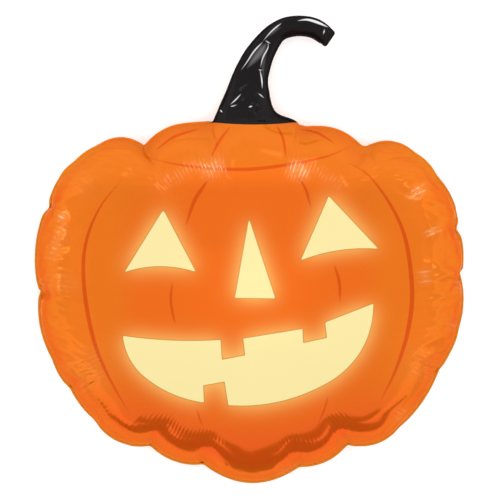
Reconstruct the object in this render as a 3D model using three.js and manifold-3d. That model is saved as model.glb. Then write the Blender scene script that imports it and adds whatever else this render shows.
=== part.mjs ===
// Pumpkin-shaped foil balloon, lying on its back with the face side up.
//
// Millimetres, +Z up, +Y towards the stem. Two sheets of film are welded together round their
// outline, so the filled envelope is a deep pillow that closes on a thin flat rim. The extra film
// gathers at puckers along the weld and bulges between them. The curled stem is part of the same
// envelope. The origin ends up under the middle of the balloon, on the surface that it lies on.

import * as THREE from 'three';
import { mergeVertices } from 'three/addons/utils/BufferGeometryUtils.js';
import Module from 'manifold-3d';

const wasm = await Module();
wasm.setup();

// ---- Driving dimensions ---------------------------------------------------------------------

const BODY_DEPTH = 330;            // front to back through the middle of the filled body
const WELD_WIDTH = 5;              // flat rim outside the weld line
const WELD_THICKNESS = 1.2;        // both films and the weld, drawn thick enough to hold
const REST_FLAT = 3;               // how far the back is pressed in, which leaves a flat spot

// Puckers of the weld, anticlockwise from the right-hand side: x, y from the middle of the body,
// and how far the rim bulges outward on the stretch from this pucker to the next one.
const PUCKERS = [
  [336, 37, 5], [332, 120, 8], [297, 200, 4], [264, 235, 14],            // right shoulder
  [187, 245, 0], [178, 247, 13], [90, 276, 5], [-69, 280, 16],           // lid, either side of stem
  [-167, 246, 14], [-242, 246, 3], [-277, 221, 3], [-300, 196, 3],       // left shoulder
  [-317, 152, 2], [-331, 123, 7], [-332, 15, 9], [-311, -90, 4],         // left side
  [-283, -136, 3], [-247, -184, 16], [-157, -226, 11], [-72, -256, 28],  // underside, left
  [80, -260, 11], [156, -224, 14], [239, -197, 7],                       // underside, right
  [300, -108, 1], [318, -80, 2], [332, -40, 5],                          // right side
];
const SEAM_STEP = 11;              // spacing of the points along the weld
const RINGS = 8;                   // rings from the middle of each face out to the weld
const PUCKER_PINCH = 0.3;          // share of the height that a pucker takes off beside the weld
const PUCKER_REACH = 0.72;         // where the puckers start, as a share of the way out
const SMOOTH_SPAN = 6;             // weld points averaged each way for the shape between puckers

// Centre line of the stem from inside the body to the tip: x, y and half its width.
const STEM = [
  [9, 256, 79], [8, 286, 65], [1, 300, 50], [-3, 315, 43], [-1, 345, 30], [5, 366, 24],
  [18, 394, 20], [43, 425, 17], [72, 435, 16], [103, 432, 16], [127, 416, 15],
];
const STEM_ROOT_ROUNDNESS = 0.66;  // thickness over width where the stem leaves the body
const STEM_ROUNDNESS = 0.92;       // the same in its narrow part, which fills to a tube
const STEM_SQUARE = [0.35, 0.55];  // share of its length over which level sections turn square to it
const STEM_TIP = 0.1;              // last share of its length, which closes like a pillow's end
const STEM_SIDES = 20;
const STEM_STEPS = 26;

// ---- Helpers --------------------------------------------------------------------------------

// A closed three.js geometry as a manifold solid: shared vertices merged, collapsed faces dropped.
function toSolid(geometry) {
  geometry.deleteAttribute('normal');
  geometry.deleteAttribute('uv');
  const merged = mergeVertices(geometry, 1e-4);
  const index = merged.index.array;
  const faces = [];
  for (let i = 0; i < index.length; i += 3) {
    const [a, b, c] = [index[i], index[i + 1], index[i + 2]];
    if (a !== b && b !== c && c !== a) faces.push(a, b, c);
  }
  return new wasm.Manifold(new wasm.Mesh({
    numProp: 3,
    vertProperties: new Float32Array(merged.attributes.position.array),
    triVerts: new Uint32Array(faces),
  }));
}

function toGeometry(solid) {
  const mesh = solid.getMesh();
  const geometry = new THREE.BufferGeometry();
  geometry.setAttribute('position', new THREE.BufferAttribute(mesh.vertProperties, 3));
  geometry.setIndex(new THREE.BufferAttribute(mesh.triVerts, 1));
  geometry.computeVertexNormals();
  return geometry;
}

// Height of a filled round envelope of two flat sheets over its middle plane, 1 in the middle and
// 0 at the weld. This is the mylar balloon curve, the integral of s*s / sqrt(1 - s^4) from t to 1,
// taken with s = sin(a), which leaves s*s / sqrt(1 + s*s) to sum.
function pillowHeight(t) {
  const sum = (from) => {
    const steps = 60;
    const width = (Math.PI / 2 - from) / steps;
    let total = 0;
    for (let i = 0; i < steps; i++) {
      const s = Math.sin(from + (i + 0.5) * width);
      total += (s * s / Math.sqrt(1 + s * s)) * width;
    }
    return total;
  };
  return sum(Math.asin(Math.min(1, t))) / sum(0);
}

// ---- Weld line ------------------------------------------------------------------------------

// Points round the rim. Each carries how near it is to a pucker, from 0 midway to 1 on it.
function seamPoints() {
  const points = [];
  PUCKERS.forEach(([x, y, bulge], i) => {
    const from = new THREE.Vector2(x, y);
    const [nextX, nextY] = PUCKERS[(i + 1) % PUCKERS.length];
    const chord = new THREE.Vector2(nextX, nextY).sub(from);
    const outward = new THREE.Vector2(chord.y, -chord.x).normalize();
    const steps = Math.max(1, Math.round(chord.length() / SEAM_STEP));
    for (let k = 0; k < steps; k++) {
      const along = k / steps;
      const arch = 4 * along * (1 - along);
      const at = from.clone().addScaledVector(chord, along).addScaledVector(outward, bulge * arch);
      points.push({ at, pucker: (1 - arch) ** 2 });
    }
  });
  return points;
}

// The same rim with its puckers averaged away, which the body follows nearer its middle.
function smoothed(points) {
  return points.map((_, i) => {
    const mean = new THREE.Vector2();
    for (let k = -SMOOTH_SPAN; k <= SMOOTH_SPAN; k++) {
      mean.add(points[(i + k + points.length) % points.length].at);
    }
    return mean.divideScalar(2 * SMOOTH_SPAN + 1);
  });
}

// ---- Body -----------------------------------------------------------------------------------

// The pillow starts as a lathe with one column of points for each point of the rim. Every column
// is then stretched out to its own rim point.
function bodyGeometry() {
  const seam = seamPoints();
  const round = smoothed(seam);
  const halfDepth = BODY_DEPTH / 2;

  const profile = [];
  for (let ring = -RINGS; ring <= RINGS; ring++) {
    const share = Math.sin((Math.PI / 2) * (1 - Math.abs(ring) / RINGS));
    profile.push({ share, side: Math.sign(ring) });
  }
  // Ring 0 is the outer edge of the rim, with the weld line's two faces either side of it.
  profile[RINGS] = { share: 1, side: 0 };
  profile.splice(RINGS, 0, { share: 1, side: -1 });
  profile.splice(RINGS + 2, 0, { share: 1, side: 1 });

  const lathe = new THREE.LatheGeometry(
    profile.map(({ share }, j) => new THREE.Vector2(share, j)),
    seam.length,
  );
  const position = lathe.attributes.position;

  for (let i = 0; i <= seam.length; i++) {
    const { at, pucker } = seam[i % seam.length];
    const smooth = round[i % seam.length];
    profile.forEach(({ share, side }, j) => {
      const blend = THREE.MathUtils.smoothstep(share, PUCKER_REACH, 1);
      const rim = smooth.clone().lerp(at, blend);
      const reach = side === 0 ? rim.length() : rim.length() - WELD_WIDTH;
      const point = rim.setLength(reach * share);
      const pinch = 1 - PUCKER_PINCH * blend * pucker;
      const filled = Math.max(halfDepth * pillowHeight(share) * pinch, WELD_THICKNESS / 2);
      const height = Math.max(side * filled, REST_FLAT - halfDepth);
      position.setXYZ(i * profile.length + j, point.x, point.y, height);
    });
  }
  return lathe;
}

// ---- Stem -----------------------------------------------------------------------------------

// A unit cylinder bent along the centre line. The curve's third coordinate is the half-width. The
// wide root's sections stay level, so that they don't fold over each other where the line bends.
function stemGeometry() {
  const curve = new THREE.CatmullRomCurve3(STEM.map((p) => new THREE.Vector3(...p)));
  const cylinder = new THREE.CylinderGeometry(1, 1, 1, STEM_SIDES, STEM_STEPS);
  const position = cylinder.attributes.position;
  for (let i = 0; i < position.count; i++) {
    const along = position.getY(i) + 0.5;
    const centre = curve.getPoint(along);
    const ahead = curve.getTangent(along);
    const square = new THREE.Vector2(ahead.y, -ahead.x).normalize();
    const turned = THREE.MathUtils.smoothstep(along, ...STEM_SQUARE);
    const sideways = new THREE.Vector2(1, 0).lerp(square, turned).normalize();
    const halfWidth = centre.z;
    const roundness = THREE.MathUtils.lerp(
      STEM_ROOT_ROUNDNESS, STEM_ROUNDNESS, THREE.MathUtils.smoothstep(along, 0, 0.5),
    );
    const closing = Math.max(0, (along - 1 + STEM_TIP) / STEM_TIP);
    const fullness = Math.sqrt(Math.max(0.01, 1 - closing * closing));
    const across = position.getX(i) * halfWidth;
    const height = position.getZ(i) * halfWidth * roundness * fullness;
    position.setXYZ(i, centre.x + sideways.x * across, centre.y + sideways.y * across, height);
  }
  return cylinder;
}

// ---- Assembly -------------------------------------------------------------------------------

const envelope = toGeometry(toSolid(bodyGeometry()).add(toSolid(stemGeometry())));
envelope.computeBoundingBox();
const middle = envelope.boundingBox.getCenter(new THREE.Vector3());
envelope.translate(-middle.x, -middle.y, -envelope.boundingBox.min.z);

const orangeFoil = new THREE.MeshStandardMaterial({ color: 0xf58220, roughness: 0.25, metalness: 0.3 });
const balloon = new THREE.Mesh(envelope, orangeFoil);
balloon.name = 'foil_balloon';

const model = new THREE.Group();
model.add(balloon);

export default model;
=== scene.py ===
# Pumpkin-shaped foil balloon, lying on its back with the printed side up.
#
# Metres, +Z up, +Y towards the stem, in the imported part's frame. The balloon is one closed skin of
# film: two equal sheets welded together round their outline, stem included, and blown up. The film
# is laid out a little too wide round its rim, as a flat sheet is once it is filled, and a cloth
# simulation turns the spare width into puckers and crimps. The filled film is then brought back to
# its measured outline and depth, gets its weld and long folds, and is printed.

import math
from functools import partial

import bmesh
import bpy
import numpy as np
from bpy.props import FloatProperty, FloatVectorProperty, IntProperty, PointerProperty
from bpy.types import Operator, Panel, PropertyGroup
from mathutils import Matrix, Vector, noise


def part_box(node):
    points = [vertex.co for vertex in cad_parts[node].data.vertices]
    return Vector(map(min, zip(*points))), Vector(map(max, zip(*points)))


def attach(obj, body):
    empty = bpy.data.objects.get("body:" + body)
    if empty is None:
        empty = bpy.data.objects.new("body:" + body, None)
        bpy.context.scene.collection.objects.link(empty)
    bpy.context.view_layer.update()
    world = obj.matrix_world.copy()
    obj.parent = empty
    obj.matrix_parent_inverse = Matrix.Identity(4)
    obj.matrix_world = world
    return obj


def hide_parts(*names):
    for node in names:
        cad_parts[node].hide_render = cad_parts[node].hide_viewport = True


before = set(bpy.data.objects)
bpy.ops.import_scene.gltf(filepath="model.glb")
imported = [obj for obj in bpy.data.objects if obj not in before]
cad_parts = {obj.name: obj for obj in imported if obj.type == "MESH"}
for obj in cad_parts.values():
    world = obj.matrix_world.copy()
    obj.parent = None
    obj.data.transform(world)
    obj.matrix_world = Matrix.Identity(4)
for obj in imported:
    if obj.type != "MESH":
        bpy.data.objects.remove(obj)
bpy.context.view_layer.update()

bl_info = {
    "name": "Pumpkin Foil Balloon",
    "version": (1, 0, 0),
    "blender": (4, 5, 0),
    "location": "View3D > Sidebar > Balloon",
    "description": "A filled foil balloon in the shape of a pumpkin with a lantern face",
    "category": "Add Mesh",
}

# ---- Driving dimensions ---------------------------------------------------------------------
# Millimetres from the middle of the body, x to the right and y towards the stem.

NODE = "foil_balloon"
MM = 0.001
BODY_MIDDLE = (-0.34, -82.6, 162.0)    # the body's middle in the part's frame
REST_FLAT = 3.0                        # how far the back is pressed flat where it lies

# Puckers of the weld, anticlockwise from the right-hand side: x, y, and how far the rim bulges
# outward on the stretch from this pucker to the next one.
PUCKERS = [
    (336, 37, 5), (332, 120, 8), (297, 200, 4), (264, 235, 14),            # right shoulder
    (187, 245, 0), (178, 247, 13), (90, 276, 5), (-69, 280, 16),           # lid, by the stem
    (-167, 246, 14), (-242, 246, 3), (-277, 221, 3), (-300, 196, 3),       # left shoulder
    (-317, 152, 2), (-331, 123, 7), (-332, 15, 9), (-311, -90, 4),         # left side
    (-283, -136, 3), (-247, -184, 16), (-157, -226, 11), (-72, -256, 28),  # underside, left
    (80, -260, 11), (156, -224, 14), (239, -197, 7),                       # underside, right
    (300, -108, 1), (318, -80, 2), (332, -40, 5),                          # right side
]

# Centre line of the stem from inside the body to the tip: x, y and half its width.
STEM = [
    (9, 256, 80), (7, 286, 67), (-1, 300, 53), (-4, 315, 44), (-1, 345, 30), (5, 366, 24),
    (18, 394, 20), (43, 425, 17), (72, 435, 16), (103, 432, 16), (127, 416, 15),
]
STEM_ROOT = ((-57, 285), (76, 285))    # where the stem's two edges meet the body
STEM_ROOT_SAG = 4.0                    # the root line hangs this far below its two ends
STEM_ROUNDNESS = (0.68, 0.92)          # thickness over width, at the root and in the narrow part
STEM_TIP = 26.0                        # length of the tip, which closes like a pillow's end
STEM_STEP = 6.5                        # spacing of the stem's sections
STEM_SQUARE = (0.35, 0.55)             # share over which level sections turn square to the line

# The printed face, anticlockwise: corners, and how far each edge bulges outward.
FACE = {
    "left eye": [(-133, 145, 0), (-193, 48, -9), (-82, 48, 0)],
    "nose": [(0, 131, 0), (-22, 8, 0), (41, 7, 0)],
    "right eye": [(124, 166, 0), (80, 66, -7), (201, 84, 0)],
    "mouth": [
        (-196, -51, 6), (-167, -111, 8), (-70, -155, 0), (-71, -128, 0), (-38, -122, 0),
        (-32, -159, 13), (129, -120, 18), (193, -1, 0), (118, -30, 0), (121, -54, 0),
        (84, -62, 0), (83, -40, 0), (-9, -55, 0), (-6, -81, 0), (-42, -88, 0), (-44, -57, -4),
    ],
}

# The printed ribs and the lid's edge: widest width, where that lies along it, and its points.
RIBS = [
    (6.5, 0.6, [(-188, 202), (-230, 152), (-254, 93), (-257, 30), (-244, -50), (-222, -109), (-184, -178)]),
    (7.0, 0.6, [(145, 223), (190, 195), (237, 119), (253, 32), (249, -36), (229, -104), (199, -165)]),
    (6.0, 0.3, [(-63, 192), (-84, 160), (-96, 125), (-97, 112)]),
    (4.0, 0.5, [(-117, 41), (-121, 3), (-112, -43)]),
    (4.5, 0.5, [(75, 197), (88, 177), (97, 144)]),
    (4.5, 0.4, [(130, 65), (140, 32), (141, -10)]),
    (5.5, 0.5, [(-165, 229), (-100, 214), (2, 208), (113, 226), (164, 248)]),
    (4.5, 0.5, [(-147, 238), (-119, 259), (-76, 274)]),
    (4.5, 0.4, [(-29, 276), (-45, 255), (-61, 224)]),
    (4.5, 0.4, [(43, 279), (53, 257), (58, 225)]),
    (4.0, 0.5, [(79, 273), (108, 266), (137, 247)]),
    (3.2, 0.4, [(-81, -164), (-77, -180), (-71, -194)]),
    (3.2, 0.4, [(124, -142), (118, -164), (106, -194)]),
]

# Long folds in the film, as for the ribs: ridges stand up, valleys run in from the puckers.
RIDGES = [
    (7, 0.5, [(-161, 215), (-191, 239), (-239, 234), (-277, 196), (-291, 164)]),
    (7, 0.5, [(236, 182), (266, 171), (272, 145), (283, 112), (285, 82), (283, 32)]),
    (6, 0.5, [(-296, -112), (-267, -95), (-239, -81)]),
    (6, 0.5, [(-267, -138), (-244, -122), (-220, -104)]),
    (6, 0.5, [(247, -74), (267, -84), (289, -95)]),
    (9, 0.4, [(128, 432), (96, 446), (55, 443), (21, 411), (-13, 368)]),
    (9, 0.4, [(33, 414), (24, 376), (20, 348), (28, 326)]),
]
VALLEYS = [
    (6, 0.1, [(-330, 9), (-291, 9), (-244, 6)]),
    (5, 0.3, [(190, 240), (193, 225), (198, 215)]),
    (5, 0.5, [(198, 218), (231, 228), (270, 229)]),
    (5, 0.5, [(-153, 237), (-117, 255), (-54, 261)]),
    (8, 0.1, [(-166, 245), (-157, 228), (-144, 209)]),
    (5, 0.1, [(-157, -225), (-151, -215), (-147, -207)]),
    (5, 0.1, [(-74, -255), (-72, -245), (-70, -238)]),
    (5, 0.1, [(79, -258), (78, -249), (76, -240)]),
    (5, 0.1, [(157, -223), (151, -214), (147, -206)]),
    (6, 0.1, [(-318, 152), (-299, 147), (-280, 139)]),
    (6, 0.1, [(335, 38), (321, 36), (302, 36)]),
    (6, 0.1, [(-283, -134), (-264, -123), (-248, -114)]),
    (6, 0.1, [(299, -109), (283, -101), (267, -95)]),
]

# Groups of fine crimps, which run in from the weld: x, y, how far they reach along the weld and
# towards the middle, how deep they are, and how much they shine, as a glossier coat and a painted highlight
# colour on their crests.
CRIMPS = [
    (-106, 201, 46, 11, 0.9, 0.22), (-58, 210, 20, 12, 1.0, 0.9),          # under the lid's edge
    (77, 206, 18, 12, 1.0, 1.0), (118, 198, 34, 10, 0.9, 0.2),
    (-292, 134, 8, 7, 0.8, 0.8), (-300, 95, 30, 9, 0.7, 0.35),             # left side
    (-296, 30, 16, 26, 0.8, 0.12), (-261, 187, 22, 19, 0.5, 0.06),
    (264, 173, 9, 13, 0.9, 0.8), (286, 111, 6, 10, 1.0, 0.8),              # right shoulder
    (274, 41, 12, 9, 0.8, 0.5), (332, 28, 16, 9, 0.8, 0.15), (321, -36, 9, 11, 0.8, 0.15),
    (267, -95, 27, 25, 0.8, 0.1), (239, -176, 11, 13, 0.9, 0.15),          # underside, right
    (-109, -182, 66, 28, 1.0, 0), (76, -213, 32, 25, 0.9, 0),              # underside
    (141, -193, 22, 25, 0.8, 0), (65, -266, 22, 8, 0.7, 0.15),
    (-251, -104, 35, 35, 0.8, 0.1), (-236, -168, 22, 13, 0.8, 0),          # underside, left
]

# Creases of the stem that shine: widest width, where that lies along it, and its points.
# The glints are crisp lines of glossier coat with a painted highlight colour; the sheens are glossier coat
# alone and fade out over their whole width.
GLINTS = [
    (4.6, 0.6, [(76, 444), (92, 446), (110, 441), (126, 434)]),
    (2.4, 0.3, [(52, 441), (36, 428), (22, 412)]),
    (2.6, 0.3, [(22, 411), (8, 396), (-4, 378), (-13, 366)]),
    (2.4, 0.5, [(29, 412), (30, 402), (22, 386), (18, 370)]),
    (2.4, 0.5, [(17, 368), (20, 352), (21, 336)]),
    (2.0, 0.5, [(14, 330), (24, 322)]),
    (2.2, 0.5, [(-12, 329), (-20, 320), (-30, 311)]),
    (2.0, 0.5, [(-30, 308), (-18, 311)]),
    (2.6, 0.5, [(-1, 307), (6, 309)]),
    (2.4, 0.5, [(-46, 304), (-42, 299)]),
    (2.2, 0.5, [(117, 422), (120, 432)]),
    (2.6, 0.5, [(110, 409), (116, 407)]),
    (2.0, 0.5, [(24, 414), (34, 408)]),
    (1.6, 0.5, [(14, 367), (23, 366)]),
]
SHEENS = [
    (17, 0.35, [(29, 411), (20, 398), (9, 384), (-6, 366)]),
    (8, 0.5, [(30, 400), (25, 385), (22, 368), (24, 350)]),
    (9, 0.5, [(54, 436), (40, 428), (28, 416)]),
]

# Where the film is drawn taut: x, y, and how far that reaches to the sides and up and down.
TAUT = [(0, -200, 225, 75), (70, 250, 60, 22)]

# ---- How the film is laid out and blown up --------------------------------------------------

SMOOTH_SHARE = 0.03                    # share of the rim averaged each way for the shape within it
LOBE_START = 0.78                      # share of the way out where bulges between puckers start
CRIMP_RAMP = (0.8, 3.0)                # crimps start this many half stems from it, and grow over
STEM_ROOT_FULLNESS = 1.33              # length of the arched root over its straight width
SEED_SIZE = 30.0                       # mm, size of the unevenness that starts the crimps
SEED_DEPTH = 0.004                     # its depth, as a share of the distance from the middle
CURVE_STEPS = 2001                     # steps in the table of the balloon's curve
LINE_STEP = 2.0                        # mm between the points of a traced outline
LINE_STEPS = 12                        # points of a traced line for each one given
STEM_POINTS = 401                      # points of the stem's centre line
CLOTH_QUALITY = 6                      # solver steps a frame
CLOTH_MASS = 0.03                      # kilograms a point
CLOTH_DAMPING = 20.0                   # how hard stretching, pushing and shearing are slowed
FOLD_DAMPING = 0.5                     # the same for folding

# ---- How the filled film is trued up and finished -------------------------------------------

CALM_STEPS = 120                       # rounds of smoothing where the film is drawn taut
CALM_SHARE = 0.7                       # how far a round goes towards the even shape
CALM_MARGIN = 10.0                     # mm inside the line through the puckers where it sets in
ROOT_HOLD = (60.0, 200.0)              # mm from the stem's root over which its drift is undone
ROOT_TURN = (13.0, 21.0)               # degrees either side of the stem that keep their outline
ROOT_PIN = 26.0                        # mm of film that moves with each end of the stem's root
ROOT_PULL = 0.65                       # how far those ends go back towards their places
OUTLINE_GRIP = (0.5, 0.97)             # shares of the way out between which the outline takes hold
WELD_REACH = 0.85                      # how much of its width the tilted weld adds to the outline
WELD_TILT = 0.35                       # share of the film's own tilt that the weld follows
RIDGE_RISE = 0.9                       # mm
VALLEY_FALL = 1.3                      # mm
FOLD_SPREAD = 1.1                      # a fold's half-width over its line's width
STEM_FOLD = 3.0                        # how much higher the stem's folds are
FOLD_TAPER = 0.5                       # how slowly folds run out towards their ends
LINE_TAPER = 0.8                       # the same for printed lines
FRONT_FACE = 20.0                      # mm over the weld's plane, above which the face is printed
EDGE_REACH = 30.0                      # mm, furthest distance to a printed edge that is kept
FINE_REACH = 0.8                       # mm from a printed edge that still counts as crossed
GLOW_SPREAD = 14.5                     # mm, how far the light round the printed face spreads
GLOW_CELLS = 6                         # cells of its grid for that spread

# ---- How the film looks ---------------------------------------------------------------------

STORED = (
    "face_edge", "face_light", "rib_edge", "ridge_edge", "valley_edge", "rim_distance",
    "glint_edge", "sheen_edge", "crimp_depth", "crimp_shine",
)
ROOT_LINE = (0.008, 0.279)             # metres, the lowest place of the line where the black starts
ROOT_LINE_CURVE = 1.1                  # per metre
GLOW_STRENGTH = 1.72                   # how strongly the glow colours the film
CRIMPS_AROUND = 240.0                  # radians of crimp for each radian round the body, whole
CRIMP_WANDER = 7.0                     # radians by which they stray from even spacing
CRIMP_HEIGHT = 0.13                    # millimetres, as the other heights here
LOOSE_CRIMPS = 0.4                     # depth of the crimps outside the groups, as a share
WANDER_SCALE = 22.0                    # per metre: their straying changes over about 45 mm
PATCH_SCALE = 16.0                     # the loose ones lie in patches of about 60 mm
STROKE_SCALE = 110.0                   # they shine in strokes of about 9 mm
FACET_SCALE = 75.0                     # the stem's film is crushed into facets of about 13 mm
RIDGE_HEIGHT = 0.8
STEM_RIDGE_HEIGHT = 0.8
VALLEY_DEPTH = 1.2
FACET_HEIGHT = 1.2
METAL_SHARE = 0.46                     # metallic share of the film, which the ink partly hides
LID_METAL_SHARE = 0.15                 # the same on the lid
METAL_TINT = "F08A30"                  # what the metal reflects at a grazing angle
FILM_ROUGHNESS = 0.13
COAT_ROUGHNESS = 0.08
COAT_IOR = 4.0                         # bare metal's glint, alike at every angle
FILM_GLOSS = 0.025                     # coat over the orange
INK_GLOSS = 0.03                       # coat over the black
CRIMP_GLOSS = 0.28                     # coat on the crests of shining crimps
SHEEN_GLOSS = 0.5                      # coat in the middle of a sheen
SHINE_BETWEEN = 0.25                   # shine between the crests, as a share
CRIMP_HIGHLIGHT_PAINT = 0.5                       # share of the painted highlight colour on the crests
GLINT_PAINT = 0.8                      # the same for the painted highlight on the stem's glints

# ---- Floor, light and camera ----------------------------------------------------------------

FLOOR_DROP = 0.0005                    # metres that the floor lies below the balloon
FLOOR_GLOSS = 0.1                      # specular level of the floor's board
GRAIN_SCALE = 300.0                    # per metre: the board's grain is about 3 mm
CAMERA_PLACE = (0.00124, -0.0004)      # metres, the place that the camera looks straight down on

# Soft lamps, as seen from the balloon: heading anticlockwise from +X and height over the horizon,
# width and height, all in degrees, and brightness against the room's white.
LAMPS = {
    "lamp_over_left": (108, 14, 12, 4, 1.8),
    "lamp_over_right": (80, 12, 14, 4, 1.8),
    "lamp_right": (46, 10, 8, 5, 2.2),
    "lamp_right_low": (12, 13, 20, 5, 1.8),
    "lamp_left": (166, 2, 14, 4, 2.2),
}
LAMP_DISTANCE = 2.5                    # metres
OVERHEAD_ANGLE = 20.0                  # degrees that the overhead light spreads over

# Cards outside the picture, which darken what the underside reflects: the place of the middle,
# width and height, how far they are tipped up from lying flat, and how light they are.
CARDS = {
    "card_below": ((0, -2.1, 0.001), 1.9, 2.7, 0, 0.012),
    "card_far_below": ((0.6, -3.4, 0.29), 4.4, 0.58, 90, 0.012),
    "card_right": ((0.72, -0.45, 0.001), 0.35, 0.3, 0, 0.7),
    "card_left": ((-0.72, -0.5, 0.001), 0.35, 0.2, 0, 0.7),
}
LOW_SIDE = 0.93                        # strength of the room light from the side below the balloon
HORIZON = 1.3                          # its strength at the horizon


def linear(code):
    """A colour given as an sRGB hex code, as linear values."""
    parts = [int(code[i:i + 2], 16) / 255 for i in (0, 2, 4)]
    return [c / 12.92 if c <= 0.04045 else ((c + 0.055) / 1.055) ** 2.4 for c in parts]


def ease(share):
    """0 to 1 with a soft start and end."""
    t = np.clip(share, 0, 1)
    return t * t * (3 - 2 * t)


# ---- Settings -------------------------------------------------------------------------------

def in_metres(name, description, metres):
    return FloatProperty(name=name, description=description, default=metres, unit="LENGTH")


def number(name, description, value):
    return FloatProperty(name=name, description=description, default=value)


def paint(name, description, code):
    return FloatVectorProperty(
        name=name, description=description, default=linear(code), subtype="COLOR")


class BalloonShape(PropertyGroup):
    """Sizes of the film and how hard it is filled."""
    depth: in_metres(
        "Depth", "Front to back through the middle of the body",
        (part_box(NODE)[1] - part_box(NODE)[0]).z + REST_FLAT * MM)
    rings: IntProperty(
        name="Rings", description="Rings of faces from the middle of a sheet to its weld",
        default=45, min=8)
    weld_width: in_metres("Weld width", "Width of the welded rim outside the filled film", 0.0035)
    weld_thickness: in_metres(
        "Weld thickness", "Thickness of the rim, drawn thicker than film", 0.0009)
    spare: FloatProperty(
        name="Spare film", description="Share of a flat sheet's spare width left round the rim",
        default=0.7, subtype="FACTOR")
    pressure: number("Pressure", "Pressure of the gas, in kilopascals", 5.0)
    stretch: number("Stretch stiffness", "How hard the film is to stretch", 400.0)
    crush: number("Crush stiffness", "How hard the film is to push together", 10.0)
    shear: number("Shear stiffness", "How hard the film is to pull askew", 5.0)
    bend: number("Bend stiffness", "How hard the film is to fold", 0.5)
    frames: IntProperty(
        name="Frames", description="Frames that the filling takes", default=20, min=2)


class BalloonPrint(PropertyGroup):
    """Colours printed on the film, and the painted highlight colours of the shining crimps and the stem's
    glints.
    """
    middle: paint("Middle", "Redder orange of the middle", "DD6310")
    rim: paint("Rim", "Orange towards the rim and of the lid", "D16911")
    # Deeper orange towards the underside: partly print, partly painted shade.
    low: paint("Underside", "Deep orange of the underside", "D75312")
    flank: paint("Flanks", "Brighter orange beside the two long ribs", "DA6B11")
    edge: paint("Edge", "Yellower orange along the weld", "D17610")
    rib: paint("Ribs", "Dark orange of the ribs and the lid's edge", "C94B04")
    glow: paint("Glow", "Light orange round the face", "E8A455")
    outline: paint("Face outline", "Tan line round the face", "BC8238")
    face: paint("Face", "Pale yellow of the eyes, nose and mouth", "EADA9B")
    # Painted highlight colour on the crests of shining crimps.
    worn: paint("Painted crimp highlight", "Where crimps let the bare metal show through", "F4C274")
    stem: paint("Stem", "Black of the stem", "100D0E")
    # Painted highlight colour along the stem's glint lines.
    bare: paint("Painted stem glint", "Where the stem's creases have lost their ink", "D8D8D8")


class BalloonStage(PropertyGroup):
    """Floor, light and camera."""
    floor: paint("Floor", "Colour of the floor", "F9F9F9")
    floor_size: in_metres("Floor size", "Side of the square floor", 14.0)
    light: number("Room light", "Strength of the even light all round", 1.0)
    overhead: number(
        "Overhead light", "Soft light from straight above, in watts per square metre", 2.2)
    camera_height: in_metres("Camera height", "Camera over the weld's plane", 8.0)
    view_width: in_metres("View width", "Width that the picture shows at the weld", 0.7906)


# ---- Lines ----------------------------------------------------------------------------------

def bulged(corners):
    """A closed line through corners, each edge of which bulges outward as an arc, in fine steps."""
    parts = []
    for (x, y, bulge), (next_x, next_y, _) in zip(corners, corners[1:] + corners[:1]):
        chord = np.array((next_x - x, next_y - y), float)
        length = np.hypot(*chord)
        outward = np.array((chord[1], -chord[0])) / length
        along = np.arange(max(2, int(length / LINE_STEP))) / max(2, int(length / LINE_STEP))
        arch = 4 * along * (1 - along)
        parts.append((x, y) + np.outer(along, chord) + np.outer(bulge * arch, outward))
    return np.vstack(parts)


def curve_through(points, steps):
    """A smooth open curve through points of any number of coordinates, evenly spread over them."""
    given = np.array(points, float)
    place = np.linspace(0, len(given) - 1, steps)
    first = np.clip(np.floor(place).astype(int), 0, len(given) - 2)
    f = (place - first)[:, None]
    a, b, c, d = (given[np.clip(first + k, 0, len(given) - 1)] for k in (-1, 0, 1, 2))
    return 0.5 * (2 * b + (c - a) * f + (2 * a - 5 * b + 4 * c - d) * f ** 2
                  + (3 * b - a - 3 * c + d) * f ** 3)


def run_lengths(line):
    """Length of the line from its start up to each of its points."""
    return np.r_[0, np.cumsum(np.hypot(*np.diff(line[:, :2], axis=0).T))]


def distance_to(points, line):
    """Distance of each point to an open line, and how far along the line the nearest place is."""
    best = np.full(len(points), np.inf)
    along = np.zeros(len(points))
    run = run_lengths(line)
    for i, (start, end) in enumerate(zip(line[:-1], line[1:])):
        step = end - start
        t = np.clip(((points - start) @ step) / (step @ step), 0, 1)
        gap = np.hypot(*(points - start - np.outer(t, step)).T)
        nearer = gap < best
        best[nearer] = gap[nearer]
        along[nearer] = ((run[i] + t * (run[i + 1] - run[i])) / run[-1])[nearer]
    return best, along


def inside(points, outline):
    """Whether each point lies in a closed outline."""
    odd = np.zeros(len(points), bool)
    x, y = points.T
    for (ax, ay), (bx, by) in zip(outline, np.roll(outline, -1, axis=0)):
        if ay != by:
            crosses = (ay > y) != (by > y)
            odd ^= crosses & (x < ax + (y - ay) * (bx - ax) / (by - ay))
    return odd


# ---- Laying out the film --------------------------------------------------------------------

class FilledCurve:
    """Section through a filled round balloon of two flat sheets, along the film from its middle.
    The distance out is sin(a), and both the film's length and its height follow from a."""

    def __init__(self):
        a = np.linspace(0, math.pi / 2, CURVE_STEPS)
        self.out = np.sin(a)
        fall = self.out ** 2 / np.sqrt(1 + self.out ** 2)
        film = 1 / np.sqrt(1 + self.out ** 2)
        drop = np.r_[0, np.cumsum((fall[1:] + fall[:-1]) / 2 * np.diff(a))]
        self.height = 1 - drop / drop[-1]
        self.film = np.r_[0, np.cumsum((film[1:] + film[:-1]) / 2 * np.diff(a))]

    def out_at(self, film):
        return np.interp(film, self.film, self.out)

    def height_at(self, film):
        return np.interp(film, self.film, self.height)

    def film_at_height(self, height):
        return np.interp(height, self.height[::-1], self.film[::-1])


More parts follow.
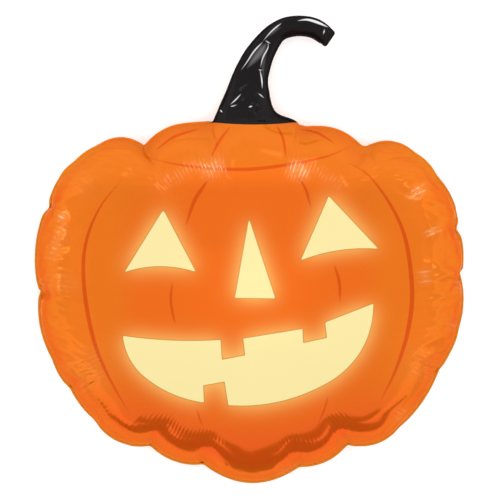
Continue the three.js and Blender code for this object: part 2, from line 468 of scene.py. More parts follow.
def rim_ring(count):
    """Points round one sheet, anticlockwise from the stem's left root round to its right root and
    back along the root line. Gives the points and how many edges the root line has."""
    left, right = np.array(STEM_ROOT, float)
    weld = bulged(PUCKERS)
    turn = np.degrees(np.arctan2(weld[:, 1], weld[:, 0])) % 360
    turn_left, turn_right = (math.degrees(math.atan2(p[1], p[0])) for p in (left, right))
    start = np.argmin(np.abs(turn - turn_left))
    weld, turn = np.roll(weld, -start, axis=0), np.roll(turn, -start)
    body = weld[(turn < turn_right) | (turn > turn_left)]
    rim = np.vstack([[left], body, [right]])
    run = run_lengths(rim)
    root_length = np.hypot(*(right - left)) * STEM_ROOT_FULLNESS
    root_edges = 2 * round(count * root_length / (run[-1] + root_length) / 2)
    place = np.linspace(0, run[-1], count - root_edges + 1)
    along = (1 - np.cos(np.linspace(0, math.pi, root_edges + 1)[1:-1])) / 2
    root = right + np.outer(along, left - right)
    root[:, 1] -= STEM_ROOT_SAG * 4 * along * (1 - along)
    points = np.c_[np.interp(place, run, rim[:, 0]), np.interp(place, run, rim[:, 1])]
    return np.vstack([points, root]), root_edges


def averaged(ring):
    """The ring with its puckers averaged away, which the film follows nearer its middle."""
    span = int(len(ring) * SMOOTH_SHARE)
    shifts = range(-span, span + 1)
    weights = [math.cos(k / (span + 1) * math.pi / 2) ** 2 for k in shifts]
    return sum(w * np.roll(ring, -k, axis=0) for w, k in zip(weights, shifts)) / sum(weights)


def on_ring(values, place):
    """Values of the ring's points, at places between them."""
    first = np.floor(place + 1e-6).astype(int)
    part = place - first
    if values.ndim > 1:
        part = part[:, None]
    return values[first % len(values)] * (1 - part) + values[(first + 1) % len(values)] * part


def lay_front(bm, layers, rings, half_depth, spare):
    """The front sheet, already bowed: a square grid, pulled so that its border is the rim."""
    count = 8 * rings
    ring, root_edges = rim_ring(count)
    soft = averaged(ring)
    curve = FilledCurve()
    full = curve.film[-1]
    rim_edges = count - root_edges
    middle_of_root = rim_edges + root_edges / 2

    # The film ends at the weld, but at the stem's root it ends higher up, on the stem's arch.
    reach = np.full(count, full)
    step = np.arange(root_edges + 1)
    across = np.cos(step / root_edges * math.pi)
    arch = STEM[1][2] * STEM_ROUNDNESS[0] * np.sqrt(np.maximum(0, 1 - across ** 2))
    reach[(rim_edges + step) % count] = curve.film_at_height(arch / half_depth)

    bmesh.ops.create_grid(bm, x_segments=2 * rings, y_segments=2 * rings, size=rings)
    grid = np.rint([v.co[:2] for v in bm.verts])
    a, b = grid.T
    wide = np.abs(a) >= np.abs(b)
    main = np.where(wide, a, b)
    other = np.where(wide, b, a)
    lean = (math.pi / 4) * other / np.where(main == 0, 1, main)
    angle = np.where(wide, lean, math.pi / 2 - lean) + np.where(main < 0, math.pi, 0)
    out = np.abs(main) / rings
    place = ((angle - math.pi / 2) / (2 * math.pi) * count + middle_of_root) % count

    ends = on_ring(reach, place)
    share = curve.out_at(out * ends) / on_ring(curve.out_at(reach), place)
    height = curve.height_at(out * ends) * half_depth
    sharp = ease((share - LOBE_START) / (1 - LOBE_START))[:, None]
    flat = (on_ring(soft, place) * (1 - sharp) + on_ring(ring, place) * sharp) * share[:, None]

    # A flat sheet has more film round each ring than the filled shape needs. The spare film is
    # given to the rest shape by lifting and lowering every other line of points.
    away = np.abs((np.arange(count) - middle_of_root + count / 2) % count - count / 2)
    start, ramp = CRIMP_RAMP
    crimped = ease((away / (root_edges / 2) - start) / ramp)
    film = out * full
    extra = film / np.maximum(curve.out_at(film), 1e-9) - 1
    extra = np.where(out > 0, extra, 0) * spare * on_ring(crimped, place)
    pitch = np.hypot(*on_ring(soft, place).T) * share * 2 * math.pi
    pitch = pitch / np.maximum(8 * out * rings, 1)
    sign = np.where(other % 2 == 0, -1, 1)
    lift = sign * pitch / 2 * np.sqrt((1 + extra) ** 2 - 1)

    number = np.rint(place).astype(int) % count
    on_border = out > 1 - 1e-9
    in_root = on_border & ((number >= rim_edges) | (number == 0))
    height[on_border & ~in_root] = 0
    height[on_border & ((number == 0) | (number == rim_edges))] = 0
    root = {}
    for v, (x, y), z, dz, k, rooted in zip(bm.verts, flat, height, lift, number, in_root):
        v.co = (x, y, z)
        v[layers["rest"]] = (x, y, z + dz)
        v[layers["lift"]] = dz
        v[layers["column"]] = k
        v[layers["row"]] = -1
        if rooted:
            v[layers["row"]] = 0
            v[layers["rest"]] = v.co
            root[v] = 1 - 2 * ((k - rim_edges) % count) / root_edges
    return root


def lay_stem(bm, layers, root, weld_width):
    """The front of the stem, drawn out of its root line section by section."""
    line = curve_through(STEM, STEM_POINTS)
    run = run_lengths(line)
    ahead = np.gradient(line[:, :2], axis=0)
    ahead /= np.hypot(*ahead.T)[:, None]
    start, end = STEM_SQUARE
    turned = ease((np.linspace(0, 1, len(line)) - start) / (end - start))[:, None]
    side = (1 - turned) * (1, 0) + turned * np.c_[ahead[:, 1], -ahead[:, 0]]
    side /= np.hypot(*side.T)[:, None]
    first = np.interp(STEM_ROOT[0][1], line[:60, 1], run[:60])
    length = run[-1] - first
    steps = int(length / STEM_STEP)

    def at(values, place):
        return np.interp(place, run, values)

    edges = [e for e in bm.edges if e.is_boundary and all(v in root for v in e.verts)]
    across = dict(root)
    for row in range(1, steps + 1):
        place = first + length * row / steps
        x, y, half = (at(line[:, k], place) for k in range(3))
        half -= weld_width
        sideways = (at(side[:, 0], place), at(side[:, 1], place))
        thick, narrow = STEM_ROUNDNESS
        roundness = thick + (narrow - thick) * min(1, 2 * row / steps)
        closing = max(0, (place - run[-1] + STEM_TIP) / STEM_TIP)
        fullness = math.sqrt(max(0, 1 - closing ** 2))
        sag = STEM_ROOT_SAG * max(0, 1 - row / 4)
        known = {v.co.to_tuple(4): across[v] for e in edges for v in e.verts}
        drawn = bmesh.ops.extrude_edge_only(bm, edges=edges)["geom"]
        edges = [e for e in drawn if isinstance(e, bmesh.types.BMEdge)]
        points = [v for v in drawn if isinstance(v, bmesh.types.BMVert)]
        across = {v: known[v.co.to_tuple(4)] for v in points}
        for v, share in across.items():
            turn = share * math.pi / 2
            wide = math.sin(turn) * half
            high = math.cos(turn) * half * roundness * fullness
            if abs(share) > 1 - 1e-6 or row == steps:
                high = 0
            v.co = (x + sideways[0] * wide, y + sideways[1] * wide - sag * math.cos(turn) ** 2, high)
            v[layers["rest"]] = v.co
            v[layers["lift"]] = 0
            v[layers["column"]] = -1
            v[layers["row"]] = row


def close_envelope(bm, layers):
    """The back sheet, a mirror image of the front, welded to it along the outline."""
    front = set(bm.faces)
    both = bmesh.ops.duplicate(bm, geom=bm.verts[:] + bm.edges[:] + bm.faces[:])["geom"]
    for v in both:
        if isinstance(v, bmesh.types.BMVert):
            v.co.z = -v.co.z
            lift = v[layers["lift"]]
            v[layers["rest"]] = (v.co.x, v.co.y, v.co.z + lift)
    bmesh.ops.reverse_faces(bm, faces=[f for f in both if isinstance(f, bmesh.types.BMFace)])
    on_weld = [v for v in bm.verts if abs(v.co.z) < 1e-6]
    bmesh.ops.remove_doubles(bm, verts=on_weld, dist=1e-3)
    for e in bm.edges:
        e.seam = len(e.link_faces) == 2 and sum(f in front for f in e.link_faces) == 1


def laid_film(shape, rings):
    """The whole film before it is blown up, in millimetres from the middle of the body."""
    bm = bmesh.new()
    layers = {
        "rest": bm.verts.layers.float_vector.new("rest"),
        "lift": bm.verts.layers.float.new("lift"),
        "row": bm.verts.layers.int.new("row"),
        "column": bm.verts.layers.int.new("column"),
    }
    half_depth = shape.depth / MM / 2
    root = lay_front(bm, layers, rings, half_depth, shape.spare)
    lay_stem(bm, layers, root, shape.weld_width / MM)
    bm.normal_update()
    if sum(f.normal.z for f in bm.faces) < 0:
        bmesh.ops.reverse_faces(bm, faces=bm.faces[:])
    close_envelope(bm, layers)
    for v in bm.verts:
        uneven = 1 + SEED_DEPTH * noise.noise(v.co / SEED_SIZE)
        v.co.x *= uneven
        v.co.y *= uneven
    mesh = bpy.data.meshes.new("balloon_film")
    bm.to_mesh(mesh)
    bm.free()
    return mesh


# ---- Blowing it up --------------------------------------------------------------------------

def get_points(mesh):
    points = np.empty(len(mesh.vertices) * 3, np.float32)
    mesh.vertices.foreach_get("co", points)
    return points.reshape(-1, 3).astype(float)


def set_points(mesh, points):
    mesh.vertices.foreach_set("co", np.ascontiguousarray(points, np.float32).ravel())
    mesh.update()


def get_values(mesh, name):
    attribute = mesh.attributes[name]
    wide = 3 if attribute.data_type == "FLOAT_VECTOR" else 1
    values = np.empty(len(mesh.vertices) * wide, np.int32 if attribute.data_type == "INT" else np.float32)
    attribute.data.foreach_get("vector" if wide == 3 else "value", values)
    return values.reshape(-1, 3) if wide == 3 else values


def add_object(name, data, location=(0, 0, 0)):
    """Puts a new object into the scene."""
    added = bpy.data.objects.new(name, data)
    added.location = location
    bpy.context.scene.collection.objects.link(added)
    return added


def finished_mesh(piece):
    """The piece's mesh with its modifiers worked in, in place of the one it had."""
    scene_state = bpy.context.evaluated_depsgraph_get()
    mesh = bpy.data.meshes.new_from_object(piece.evaluated_get(scene_state))
    piece.modifiers.clear()
    piece.shape_key_clear()
    piece.data = mesh
    return mesh


def blow_up(piece, shape):
    """Cloth under pressure from inside, with the over-wide film as its rest shape."""
    rest = get_values(piece.data, "rest") * MM
    set_points(piece.data, get_points(piece.data) * MM)
    piece.shape_key_add(name="Start")
    key = piece.shape_key_add(name="Spare film")
    key.data.foreach_set("co", np.ascontiguousarray(rest, np.float32).ravel())

    # The rest shape only counts when some other modifier comes first. This one changes nothing.
    opener = piece.modifiers.new("Opener", "EDGE_SPLIT")
    opener.use_edge_angle = False
    opener.use_edge_sharp = False

    cloth = piece.modifiers.new("Filling", "CLOTH")
    film = cloth.settings
    film.quality = CLOTH_QUALITY
    film.mass = CLOTH_MASS
    film.tension_stiffness = shape.stretch
    film.compression_stiffness = shape.crush
    film.shear_stiffness = shape.shear
    film.bending_stiffness = shape.bend
    film.tension_damping = film.compression_damping = film.shear_damping = CLOTH_DAMPING
    film.bending_damping = FOLD_DAMPING
    film.air_damping = 1.0
    film.use_pressure = True
    film.uniform_pressure_force = shape.pressure
    film.rest_shape_key = key
    film.effector_weights.gravity = 0
    cloth.collision_settings.use_collision = False
    cloth.point_cache.frame_start = 1
    cloth.point_cache.frame_end = shape.frames + 1
    for number in range(1, shape.frames + 1):
        bpy.context.scene.frame_set(number)
    mesh = finished_mesh(piece)
    bpy.context.scene.frame_set(1)
    set_points(mesh, get_points(mesh) / MM)
    return mesh


# ---- Trueing it up --------------------------------------------------------------------------

def undo_drift(points, start, row):
    """Moves the stem's sections back to their line, and the film beside it with them."""
    rows = range(row.max() + 1)
    drift = np.array([(points[row == k] - start[row == k])[:, :2].mean(axis=0) for k in rows])
    blur = np.array([drift[max(0, k - 2):k + 3].mean(axis=0) for k in rows])
    stem = row >= 0
    points[stem, :2] -= blur[row[stem]]
    root_middle = np.mean(STEM_ROOT, axis=0)
    near, far = ROOT_HOLD
    away = np.hypot(*(start[~stem, :2] - root_middle).T)
    points[~stem, :2] -= np.outer(1 - ease((away - near) / (far - near)), blur[0])


def calm_film(mesh, points, start):
    """Evens out the film where it is taut, by smoothing how far the filling has moved it."""
    ends = np.empty(len(mesh.edges) * 2, np.int32)
    mesh.edges.foreach_get("vertices", ends)
    here, there = np.r_[ends.reshape(-1, 2), ends.reshape(-1, 2)[:, ::-1]].T
    line = np.array([corner[:2] for corner in PUCKERS + PUCKERS[:1]], float)
    within = np.where(inside(start[:, :2], line[:-1]), distance_to(start[:, :2], line)[0], 0)
    taut = np.zeros(len(points))
    for x, y, wide, high in TAUT:
        away = ((start[:, 0] - x) / wide) ** 4 + ((start[:, 1] - y) / high) ** 4
        taut = np.maximum(taut, np.exp(-away) * ease(within / CALM_MARGIN))
    moved = points - start
    beside = np.bincount(here)
    for _ in range(CALM_STEPS):
        for k in range(3):
            mean = np.bincount(here, moved[there, k]) / beside
            moved[:, k] += (mean - moved[:, k]) * taut * CALM_SHARE
    points[:] = start + moved


def pin_root(points, start):
    """Brings the two ends of the stem's root back to their places, with the film round them."""
    for corner in STEM_ROOT:
        gap = np.hypot(*(start[:, :2] - corner).T)
        moved = points[gap.argmin(), :2] - start[gap.argmin(), :2]
        points[:, :2] -= np.outer(np.exp(-(gap / ROOT_PIN) ** 2), moved) * ROOT_PULL


def true_outline(points, row, column, weld_width):
    """Draws the body's rim in or out to its measured outline."""
    body = row < 0
    radius = np.hypot(*points[:, :2].T)
    turn = np.degrees(np.arctan2(points[:, 1], points[:, 0]))
    edge = []
    for k in range(column.max() + 1):
        line = np.flatnonzero(body & (column == k))
        if len(line):
            furthest = line[np.argmax(radius[line])]
            edge.append((turn[furthest], radius[furthest] + weld_width))
    edge = np.array(sorted(edge))
    weld = bulged(PUCKERS)
    weld_turn = np.degrees(np.arctan2(weld[:, 1], weld[:, 0]))
    order = np.argsort(weld_turn)
    wanted = np.interp(edge[:, 0], weld_turn[order], np.hypot(*weld[order].T), period=360)
    near, far = ROOT_TURN
    change = (wanted / edge[:, 1] - 1) * ease((np.abs(edge[:, 0] - 90) - near) / (far - near))
    there = np.interp(turn[body], edge[:, 0], edge[:, 1], period=360)
    inner, outer = OUTLINE_GRIP
    share = ease((radius[body] / there - inner) / (outer - inner))
    scale = 1 + share * np.interp(turn[body], edge[:, 0], change, period=360)
    points[body, :2] *= scale[:, None]


def true_depth(points, depth):
    """Brings the filled film to its measured depth, and presses its back flat where it rests."""
    high, low = points[:, 2].max(), points[:, 2].min()
    points[:, 2] *= depth / (high - low)
    points[:, 2] -= (points[:, 2].max() + points[:, 2].min()) / 2
    points[:, 2] = np.maximum(points[:, 2], REST_FLAT - depth / 2)


def true_up(mesh, start, shape):
    points = get_points(mesh)
    row = get_values(mesh, "row")
    calm_film(mesh, points, start)
    undo_drift(points, start, row)
    pin_root(points, start)
    true_outline(points, row, get_values(mesh, "column"), shape.weld_width / MM * WELD_REACH)
    true_depth(points, shape.depth / MM)
    set_points(mesh, points)


# ---- Weld and fine mesh ---------------------------------------------------------------------

def add_weld(mesh, width, thickness):
    """Draws the flat welded rim out of the seam between the two sheets."""
    bm = bmesh.new()
    bm.from_mesh(mesh)
    seam = [e for e in bm.edges if e.seam]
    strip = bmesh.ops.bevel(
        bm, geom=seam, offset=thickness / 2, offset_type="OFFSET", segments=1, profile=0.5,
        affect="EDGES", material=-1)["faces"]
    drawn = bmesh.ops.extrude_face_region(bm, geom=strip)["geom"]
    tip = set(f for f in drawn if isinstance(f, bmesh.types.BMFace))
    bm.normal_update()
    outward = {}
    for v in drawn:
        if isinstance(v, bmesh.types.BMVert):
            total = sum((f.normal for f in v.link_faces if f in tip), Vector())
            outward[v] = Vector((total.x, total.y, total.z * WELD_TILT)).normalized()
    for v, direction in outward.items():
        beside = [e.other_vert(v) for e in v.link_edges]
        steady = sum((outward[n] for n in beside if n in outward), direction * 2)
        v.co += steady.normalized() * width
    bm.to_mesh(mesh)
    bm.free()


def tapered(points, peak, line):
    """Distance of each point to a line, and how wide the line is there, as a share of its widest."""
    gap, along = distance_to(points[:, :2], curve_through(line, LINE_STEPS * len(line)))
    along = np.where(along < peak, along / peak, (1 - along) / (1 - peak)) / 2
    return gap, np.sin(math.pi * along)


def fold_film(mesh):
    """Raises the long ridges and sinks the valleys, as rounded folds."""
    points = get_points(mesh)
    normals = np.empty(len(points) * 3, np.float32)
    mesh.vertex_normals.foreach_get("vector", normals)
    lift = np.zeros(len(points))
    stem = points[:, 1] > STEM_ROOT[0][1]
    for lines, height in ((RIDGES, RIDGE_RISE), (VALLEYS, -VALLEY_FALL)):
        for width, peak, line in lines:
            gap, full = tapered(points, peak, line)
            rounded = np.clip(1 - (gap / (width * FOLD_SPREAD)) ** 2, 0, 1) ** 2
            lift += height * np.where(stem, STEM_FOLD, 1) * rounded * full ** FOLD_TAPER
    set_points(mesh, points + normals.reshape(-1, 3) * lift[:, None])


def rim_distance(points):
    """Distance to the body's outline, as seen from above."""
    weld = bulged(PUCKERS)
    return distance_to(points[:, :2], np.vstack([weld, weld[:1]]))[0]


def tapered_edge(points, lines):
    """Signed distance to the edges of tapered lines, below 0 inside them."""
    edge = np.full(len(points), EDGE_REACH)
    for width, peak, line in lines:
        gap, full = tapered(points, peak, line)
        edge = np.minimum(edge, gap - width / 2 * full ** LINE_TAPER)
    return edge


def printed_edges(points):
    """Signed distance to the face's edges and to the ribs' edges, below 0 inside the print."""
    face = np.full(len(points), EDGE_REACH)
    for corners in FACE.values():
        outline = bulged(corners)
        gap, _ = distance_to(points[:, :2], np.vstack([outline, outline[:1]]))
        face = np.minimum(face, np.where(inside(points[:, :2], outline), -gap, gap))
    rib = np.where(face < 0, EDGE_REACH, tapered_edge(points, RIBS))
    face = np.where(points[:, 2] > FRONT_FACE, face, EDGE_REACH)
    return face, rib


def face_light(points):
    """How much of the printed face lies round each point, as light that spreads from it."""
    shapes = [bulged(corners) for corners in FACE.values()]
    low = np.vstack(shapes).min(axis=0) - 4 * GLOW_SPREAD
    high = np.vstack(shapes).max(axis=0) + 4 * GLOW_SPREAD
    step = GLOW_SPREAD / GLOW_CELLS
    across, up = np.meshgrid(*(np.arange(low[k], high[k], step) for k in range(2)))
    cells = np.c_[across.ravel(), up.ravel()]
    lit = sum(inside(cells, shape) for shape in shapes).reshape(across.shape).astype(float)
    reach = np.arange(-3 * GLOW_CELLS, 3 * GLOW_CELLS + 1) / GLOW_CELLS
    weights = np.exp(-(reach ** 2) / 2)
    weights /= weights.sum()
    for axis in (0, 1):
        lit = np.apply_along_axis(np.convolve, axis, lit, weights, mode="same")
    column = np.clip((points[:, 0] - low[0]) / step, 0, across.shape[1] - 1.001)
    row = np.clip((points[:, 1] - low[1]) / step, 0, across.shape[0] - 1.001)
    i, j = column.astype(int), row.astype(int)
    right, over = column - i, row - j
    under = lit[j, i] * (1 - right) + lit[j, i + 1] * right
    upper = lit[j + 1, i] * (1 - right) + lit[j + 1, i + 1] * right
    return np.where(points[:, 2] > FRONT_FACE, under * (1 - over) + upper * over, 0)


def crimp_groups(points):
    """How deep the fine crimps are and how much they shine, each from 0 to 1."""
    depth = np.zeros(len(points))
    shine = np.zeros(len(points))
    for x, y, along, inward, deepest, brightest in CRIMPS:
        out = np.array((x, y)) / math.hypot(x, y)
        offset = points[:, :2] - (x, y)
        across = (offset @ out) / inward
        beside = (offset @ (-out[1], out[0])) / along
        there = np.exp(-across ** 2 - beside ** 4)
        depth = np.maximum(depth, deepest * there)
        shine = np.maximum(shine, brightest * there)
    return depth, np.where(points[:, 2] > 0, shine, 0)


def refine_print(mesh):
    """Halves the faces that a printed edge crosses, so that the edge comes out crisp."""
    points = get_points(mesh)
    face, rib = printed_edges(points)
    rib = np.minimum(rib, np.where(points[:, 2] > 0, tapered_edge(points, GLINTS), EDGE_REACH))
    bm = bmesh.new()
    bm.from_mesh(mesh)
    bm.faces.ensure_lookup_table()
    edges = set()
    for f in bm.faces:
        corners = [v.index for v in f.verts]
        crossed = face[corners].min() < FINE_REACH and face[corners].max() > -FINE_REACH
        if crossed or rib[corners].min() < FINE_REACH:
            edges.update(f.edges)
    bmesh.ops.subdivide_edges(bm, edges=list(edges), cuts=1, use_grid_fill=True)
    bm.to_mesh(mesh)
    bm.free()


def store_print(mesh):
    """Keeps what the material needs as values on the film, with distances in metres."""
    points = get_points(mesh)
    face, rib = printed_edges(points)
    crimps, shine = crimp_groups(points)
    ridge, valley, glint, sheen = (tapered_edge(points, lines) for lines in (
        RIDGES, VALLEYS, GLINTS, SHEENS))
    values = (
        face * MM, face_light(points), rib * MM, ridge * MM, valley * MM, rim_distance(points) * MM,
        glint * MM, sheen * MM, crimps, shine,
    )
    for name, value in zip(STORED, values):
        attribute = mesh.attributes.new(name, "FLOAT", "POINT")
        attribute.data.foreach_set("value", value.astype(np.float32))


# ---- Materials ------------------------------------------------------------------------------

def add_node(tree, kind, inputs=(), output=0, **settings):
    """Adds a node with its settings, sets or links its inputs, and gives one of its outputs."""
    node = tree.nodes.new("ShaderNode" + kind)
    for name, value in settings.items():
        setattr(node, name, value)
    named = inputs if isinstance(inputs, dict) else dict(enumerate(inputs))
    for name, value in named.items():
        if isinstance(value, bpy.types.NodeSocket):
            tree.links.new(value, node.inputs[name])
        else:
            node.inputs[name].default_value = value
    return node.outputs[output] if node.outputs else None


def new_material(name):
    """An empty material, and the function that adds its nodes."""
    material = bpy.data.materials.new(name)
    material.use_nodes = True
    material.node_tree.nodes.clear()
    return material, partial(add_node, material.node_tree)


def printed_foil(colours):
    """Nylon film with vapour-deposited aluminium under a gloss print: a balloon's foil. The metal
    gives sharp reflections tinted by the ink. The clear surface is a thin coat with the IOR of metal,
    so that it glints alike at every angle."""
    material, node = new_material("Printed metallised nylon film")
    stored = {name: node("Attribute", output="Fac", attribute_name=name) for name in STORED}
    ink = {name: (*getattr(colours, name), 1.0) for name in colours.__annotations__}

    def product(*factors):
        """Factors multiplied. A tuple is a value with the two limits that it comes in between."""
        result = None
        for factor in factors:
            if isinstance(factor, tuple):
                factor = node("MapRange", factor, interpolation_type="SMOOTHSTEP")
            result = factor if result is None else node("Math", (result, factor), operation="MULTIPLY")
        return result

    centred = node("Mapping", {
        "Vector": node("TexCoord", output="Object"), "Location": [-c * MM for c in BODY_MIDDLE]})
    level = node("VectorMath", (centred, (1, 1, 0)), operation="MULTIPLY")
    radius = node("VectorMath", (level,), "Value", operation="LENGTH")
    x, y = (node("SeparateXYZ", (centred,), axis) for axis in "XY")
    sideways = node("Math", (x,), operation="ABSOLUTE")
    off_level = node("Math", (node("Math", (y, 0.04), operation="SUBTRACT"),), operation="ABSOLUTE")

    # Fine crimps, 5 to 6 mm apart, that run in from the weld and shine in uneven strokes.
    around = product(node("Math", (y, x), operation="ARCTAN2"), CRIMPS_AROUND)
    wander = node("TexNoise", {"Vector": centred, "Scale": WANDER_SCALE, "Detail": 2.0})
    phase = node("Math", (around, product(wander, CRIMP_WANDER)), operation="ADD")
    crimp = node("Math", (phase,), operation="SINE")
    patches = node("TexNoise", {"Vector": centred, "Scale": PATCH_SCALE, "Detail": 1.0})
    loose = product((radius, 0.2, 0.28), (patches, 0.5, 0.66), LOOSE_CRIMPS)
    depth = node("Math", (loose, stored["crimp_depth"]), operation="MAXIMUM")
    strokes = node("TexNoise", {"Vector": centred, "Scale": STROKE_SCALE, "Detail": 0.0})
    crest = product((crimp, 0.1, 1.0), (strokes, 0.35, 0.6))
    # Where the crimps shine: a glossier coat, and a painted highlight colour on their crests.
    worn = product(stored["crimp_shine"], node("Math", (crest, SHINE_BETWEEN), operation="ADD"))

    # The black starts on a line that sags between the two sides of the stem's root.
    off_middle = node("Math", (x, ROOT_LINE[0]), operation="SUBTRACT")
    over = node("Math", (y, ROOT_LINE[1]), operation="SUBTRACT")
    sag = product(off_middle, off_middle, ROOT_LINE_CURVE)
    inked = node("Math", (over, sag), operation="GREATER_THAN")
    # Glint lines along the stem's creases: a glossier coat, and a painted highlight colour.
    crease = product((stored["glint_edge"], 0.0004, -0.001))

    # The airbrushed ground, then the print on it, then the painted highlights: each colour and where it
    # lies, in metres.
    face, rim = stored["face_edge"], stored["rim_distance"]
    layers = [
        ("rim", (radius, 0.16, 0.3)),
        ("rim", (y, 0.19, 0.225), 0.8),
        # Deeper orange towards the underside: partly print, partly painted shade.
        ("low", (y, -0.1, -0.21), (radius, 0.15, 0.24), (rim, 0.012, 0.032)),
        ("flank", (sideways, 0.17, 0.22), (sideways, 0.3, 0.27), (off_level, 0.17, 0.09)),
        ("edge", (rim, 0.016, 0.004), (y, 0.26, 0.23)),
        ("rib", (stored["rib_edge"], 0.0006, -0.0006)),
        ("glow", stored["face_light"], GLOW_STRENGTH),
        ("outline", (face, 0.002, 0.0006), 0.75),
        ("face", (face, 0.0002, -0.0006)),
        # Painted highlight on the crests of shining crimps.
        ("worn", worn, CRIMP_HIGHLIGHT_PAINT),
        ("stem", inked),
        # Painted highlight along the stem's glint lines.
        ("bare", crease, inked, GLINT_PAINT),
    ]
    printed = ink["middle"]
    for name, *where in layers:
        printed = node("Mix", {0: product(*where), 6: printed, 7: ink[name]}, 2, data_type="RGBA")

    # Heights in millimetres: crimps, long folds, and the small facets that the stem's film is
    # crushed into near its root.
    facets = node("TexVoronoi", {"Vector": centred, "Scale": FACET_SCALE}, "Distance", feature="F1")
    ridge_height = node("Mix", {0: inked, 2: RIDGE_HEIGHT, 3: STEM_RIDGE_HEIGHT}, data_type="FLOAT")
    valley = node("MapRange", (stored["valley_edge"], 0.0, -0.0035))
    height = product(crimp, depth, CRIMP_HEIGHT)
    folds = (
        product((stored["ridge_edge"], 0.0, -0.0042), ridge_height),
        product(valley, -VALLEY_DEPTH),
        product((y, 0.36, 0.31), inked, facets, FACET_HEIGHT),
    )
    for fold in folds:
        height = node("Math", (height, fold), operation="ADD")
    bump = node("Bump", {"Strength": 1.0, "Distance": MM, "Height": height})

    film_gloss = node("Math", (product(worn, CRIMP_GLOSS), FILM_GLOSS), operation="ADD")
    sheen = product((stored["sheen_edge"], 0.0, -0.008), SHEEN_GLOSS)
    crease_gloss = node("Math", (crease, sheen), operation="MAXIMUM")
    ink_gloss = node("Math", (crease_gloss, INK_GLOSS), operation="ADD")
    film_metal = node("Mix", {
        0: product((y, 0.17, 0.21)), 2: METAL_SHARE, 3: LID_METAL_SHARE}, data_type="FLOAT")
    node("OutputMaterial", {"Surface": node("BsdfPrincipled", {
        "Base Color": printed,
        "Metallic": node("Mix", {0: inked, 2: film_metal, 3: 0.0}, data_type="FLOAT"),
        "Roughness": FILM_ROUGHNESS,
        "IOR": 1.5,
        "Specular IOR Level": 0.0,
        "Specular Tint": (*linear(METAL_TINT), 1.0),
        "Coat Weight": node("Mix", {0: inked, 2: film_gloss, 3: ink_gloss}, data_type="FLOAT"),
        "Coat Roughness": COAT_ROUGHNESS,
        "Coat IOR": COAT_IOR,
        "Normal": bump,
        "Coat Normal": bump,
    })})
    return material


def painted_board(name, colour, gloss):
    """Smooth matt board, for the floor and the cards: even, almost without a reflection."""
    material, node = new_material(name)
    grain = node("TexNoise", {"Vector": node("TexCoord", output="Object"), "Scale": GRAIN_SCALE})
    node("OutputMaterial", {"Surface": node("BsdfPrincipled", {
        "Base Color": (*colour, 1.0),
        "Roughness": 0.9,
        "Specular IOR Level": gloss,
        "Normal": node("Bump", {"Strength": 0.05, "Distance": 0.0005, "Height": grain}),
    })})
    return material


# ---- Operators ------------------------------------------------------------------------------

class BALLOON_OT_add_film(Operator):
    """Add the balloon: one skin of printed film, blown up and welded round its outline"""
    bl_idname = "balloon.add_film"
    bl_label = "Balloon Film"
    bl_options = {"REGISTER", "UNDO"}

    def execute(self, context):
        shape = context.scene.balloon_shape
        mesh = laid_film(shape, shape.rings)
        start = get_points(mesh)
        film = add_object("balloon_film", mesh)
        mesh = blow_up(film, shape)
        if not np.isfinite(get_points(mesh)).all():
            raise RuntimeError("The film came apart while it was filled")
        true_up(mesh, start, shape)
        add_weld(mesh, shape.weld_width / MM, shape.weld_thickness / MM)
        smooth = film.modifiers.new("Smooth", "SUBSURF")
        smooth.levels = smooth.render_levels = 1
        mesh = finished_mesh(film)
        fold_film(mesh)
        refine_print(mesh)
        store_print(mesh)
        set_points(mesh, (get_points(mesh) + BODY_MIDDLE) * MM)
        for name in ("rest", "lift", "row", "column"):
            mesh.attributes.remove(mesh.attributes[name])
        mesh.polygons.foreach_set("use_smooth", [True] * len(mesh.polygons))
        mesh.materials.append(printed_foil(context.scene.balloon_print))
        mesh.name = "balloon_film"
        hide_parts(NODE)
        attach(film, "root")
        return {"FINISHED"}


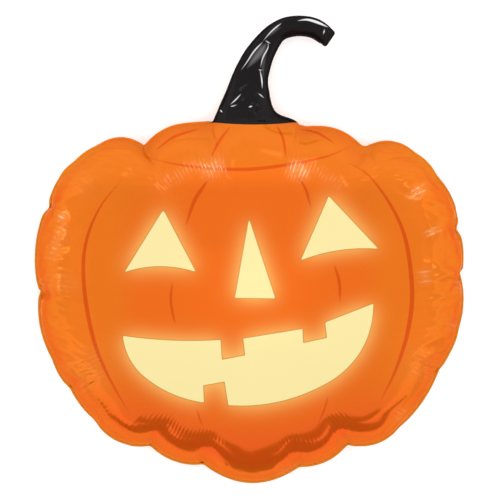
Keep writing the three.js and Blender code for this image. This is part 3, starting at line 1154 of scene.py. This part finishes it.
class BALLOON_OT_add_stage(Operator):
    """Add the floor, the soft light and the camera that looks straight down"""
    bl_idname = "balloon.add_stage"
    bl_label = "Stage"
    bl_options = {"REGISTER", "UNDO"}

    def execute(self, context):
        stage = context.scene.balloon_stage
        board = painted_board("Matt white board", stage.floor, FLOOR_GLOSS)
        self.add_sheet("floor", (0, 0, -FLOOR_DROP), stage.floor_size, stage.floor_size, board)
        for name, (middle, width, height, tip, lightness) in CARDS.items():
            board = painted_board("Matt card", (lightness, lightness, lightness), 0.0)
            card = self.add_sheet(name, middle, width, height, board)
            card.rotation_euler.x = math.radians(tip)
            card.visible_camera = card.visible_diffuse = card.visible_shadow = False
        for name, settings in LAMPS.items():
            self.add_lamp(name, *settings)
        self.add_overhead(stage)
        self.add_room_light(context.scene, stage)
        self.add_camera(context.scene, stage)
        return {"FINISHED"}

    def add_sheet(self, name, middle, width, height, material):
        """A flat sheet: the floor, or a card outside the picture that only reflections show."""
        bm = bmesh.new()
        bmesh.ops.create_grid(bm, x_segments=1, y_segments=1, size=0.5)
        bmesh.ops.scale(bm, vec=(width, height, 1), verts=bm.verts)
        mesh = bpy.data.meshes.new(name)
        bm.to_mesh(mesh)
        bm.free()
        mesh.materials.append(material)
        sheet = add_object(name, mesh, middle)
        return sheet

    def add_lamp(self, name, heading, height, wide, high, brightness):
        heading, height, wide, high = (math.radians(v) for v in (heading, height, wide, high))
        middle = Vector((0, 0, BODY_MIDDLE[2] * MM))
        level = math.cos(height)
        towards = Vector((math.cos(heading) * level, math.sin(heading) * level, math.sin(height)))
        lamp = bpy.data.lights.new(name, "AREA")
        lamp.shape = "RECTANGLE"
        lamp.size = 2 * LAMP_DISTANCE * math.tan(wide / 2)
        lamp.size_y = 2 * LAMP_DISTANCE * math.tan(high / 2)
        lamp.energy = math.pi * lamp.size * lamp.size_y * brightness
        holder = add_object(name, lamp, middle + towards * LAMP_DISTANCE)
        holder.rotation_euler = (-towards).to_track_quat("-Z", "Y").to_euler()

    def add_overhead(self, stage):
        """A wide soft light from above that keeps the floor white. Reflections don't show it."""
        lamp = bpy.data.lights.new("overhead", "SUN")
        lamp.energy = stage.overhead
        lamp.angle = math.radians(OVERHEAD_ANGLE)
        add_object("overhead", lamp, (0, 0, LAMP_DISTANCE)).visible_glossy = False

    def add_room_light(self, scene, stage):
        """Even white light, a little stronger low down, and weaker from the side below the balloon."""
        world = bpy.data.worlds.new("Soft room")
        scene.world = world
        world.use_nodes = True
        world.node_tree.nodes.clear()
        node = partial(add_node, world.node_tree)
        heading = node("TexCoord", output="Generated")

        def towards(direction, start, end, low, high):
            """Goes from low to high as the heading nears a direction."""
            facing = node("VectorMath", (heading, direction), "Value", operation="DOT_PRODUCT")
            return node("MapRange", (facing, start, end, low, high), interpolation_type="SMOOTHSTEP")

        upward = towards((0, 0, 1), 0.0, 0.75, stage.light * HORIZON, stage.light)
        below = towards((0, -0.94, 0.34), 0.5, 1.0, 1.0, LOW_SIDE)
        strength = node("Math", (upward, below), operation="MULTIPLY")
        node("OutputWorld", {"Surface": node("Background", {"Strength": strength})})

    def add_camera(self, scene, stage):
        camera = bpy.data.cameras.new("camera")
        camera.sensor_width = 36.0
        camera.lens = camera.sensor_width * stage.camera_height / stage.view_width
        height = BODY_MIDDLE[2] * MM + stage.camera_height
        scene.camera = add_object("camera", camera, (*CAMERA_PLACE, height))
        scene.view_settings.view_transform = "Standard"


class BALLOON_PT_panel(Panel):
    """Sizes, colours and steps of the foil balloon"""
    bl_idname = "BALLOON_PT_panel"
    bl_label = "Foil Balloon"
    bl_space_type = "VIEW_3D"
    bl_region_type = "UI"
    bl_category = "Balloon"

    def draw(self, context):
        groups = (
            (context.scene.balloon_shape, BALLOON_OT_add_film),
            (context.scene.balloon_print, None),
            (context.scene.balloon_stage, BALLOON_OT_add_stage),
        )
        for settings, operator in groups:
            box = self.layout.box()
            for name in settings.__annotations__:
                box.prop(settings, name)
            if operator:
                box.operator(operator.bl_idname)


CLASSES = (
    BalloonShape, BalloonPrint, BalloonStage,
    BALLOON_OT_add_film, BALLOON_OT_add_stage, BALLOON_PT_panel,
)


def register():
    for item in CLASSES:
        bpy.utils.register_class(item)
    bpy.types.Scene.balloon_shape = PointerProperty(type=BalloonShape)
    bpy.types.Scene.balloon_print = PointerProperty(type=BalloonPrint)
    bpy.types.Scene.balloon_stage = PointerProperty(type=BalloonStage)


def unregister():
    del bpy.types.Scene.balloon_stage
    del bpy.types.Scene.balloon_print
    del bpy.types.Scene.balloon_shape
    for item in reversed(CLASSES):
        bpy.utils.unregister_class(item)


def main():
    register()
    bpy.ops.balloon.add_film()
    bpy.ops.balloon.add_stage()
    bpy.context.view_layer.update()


if __name__ == "__main__":
    main()
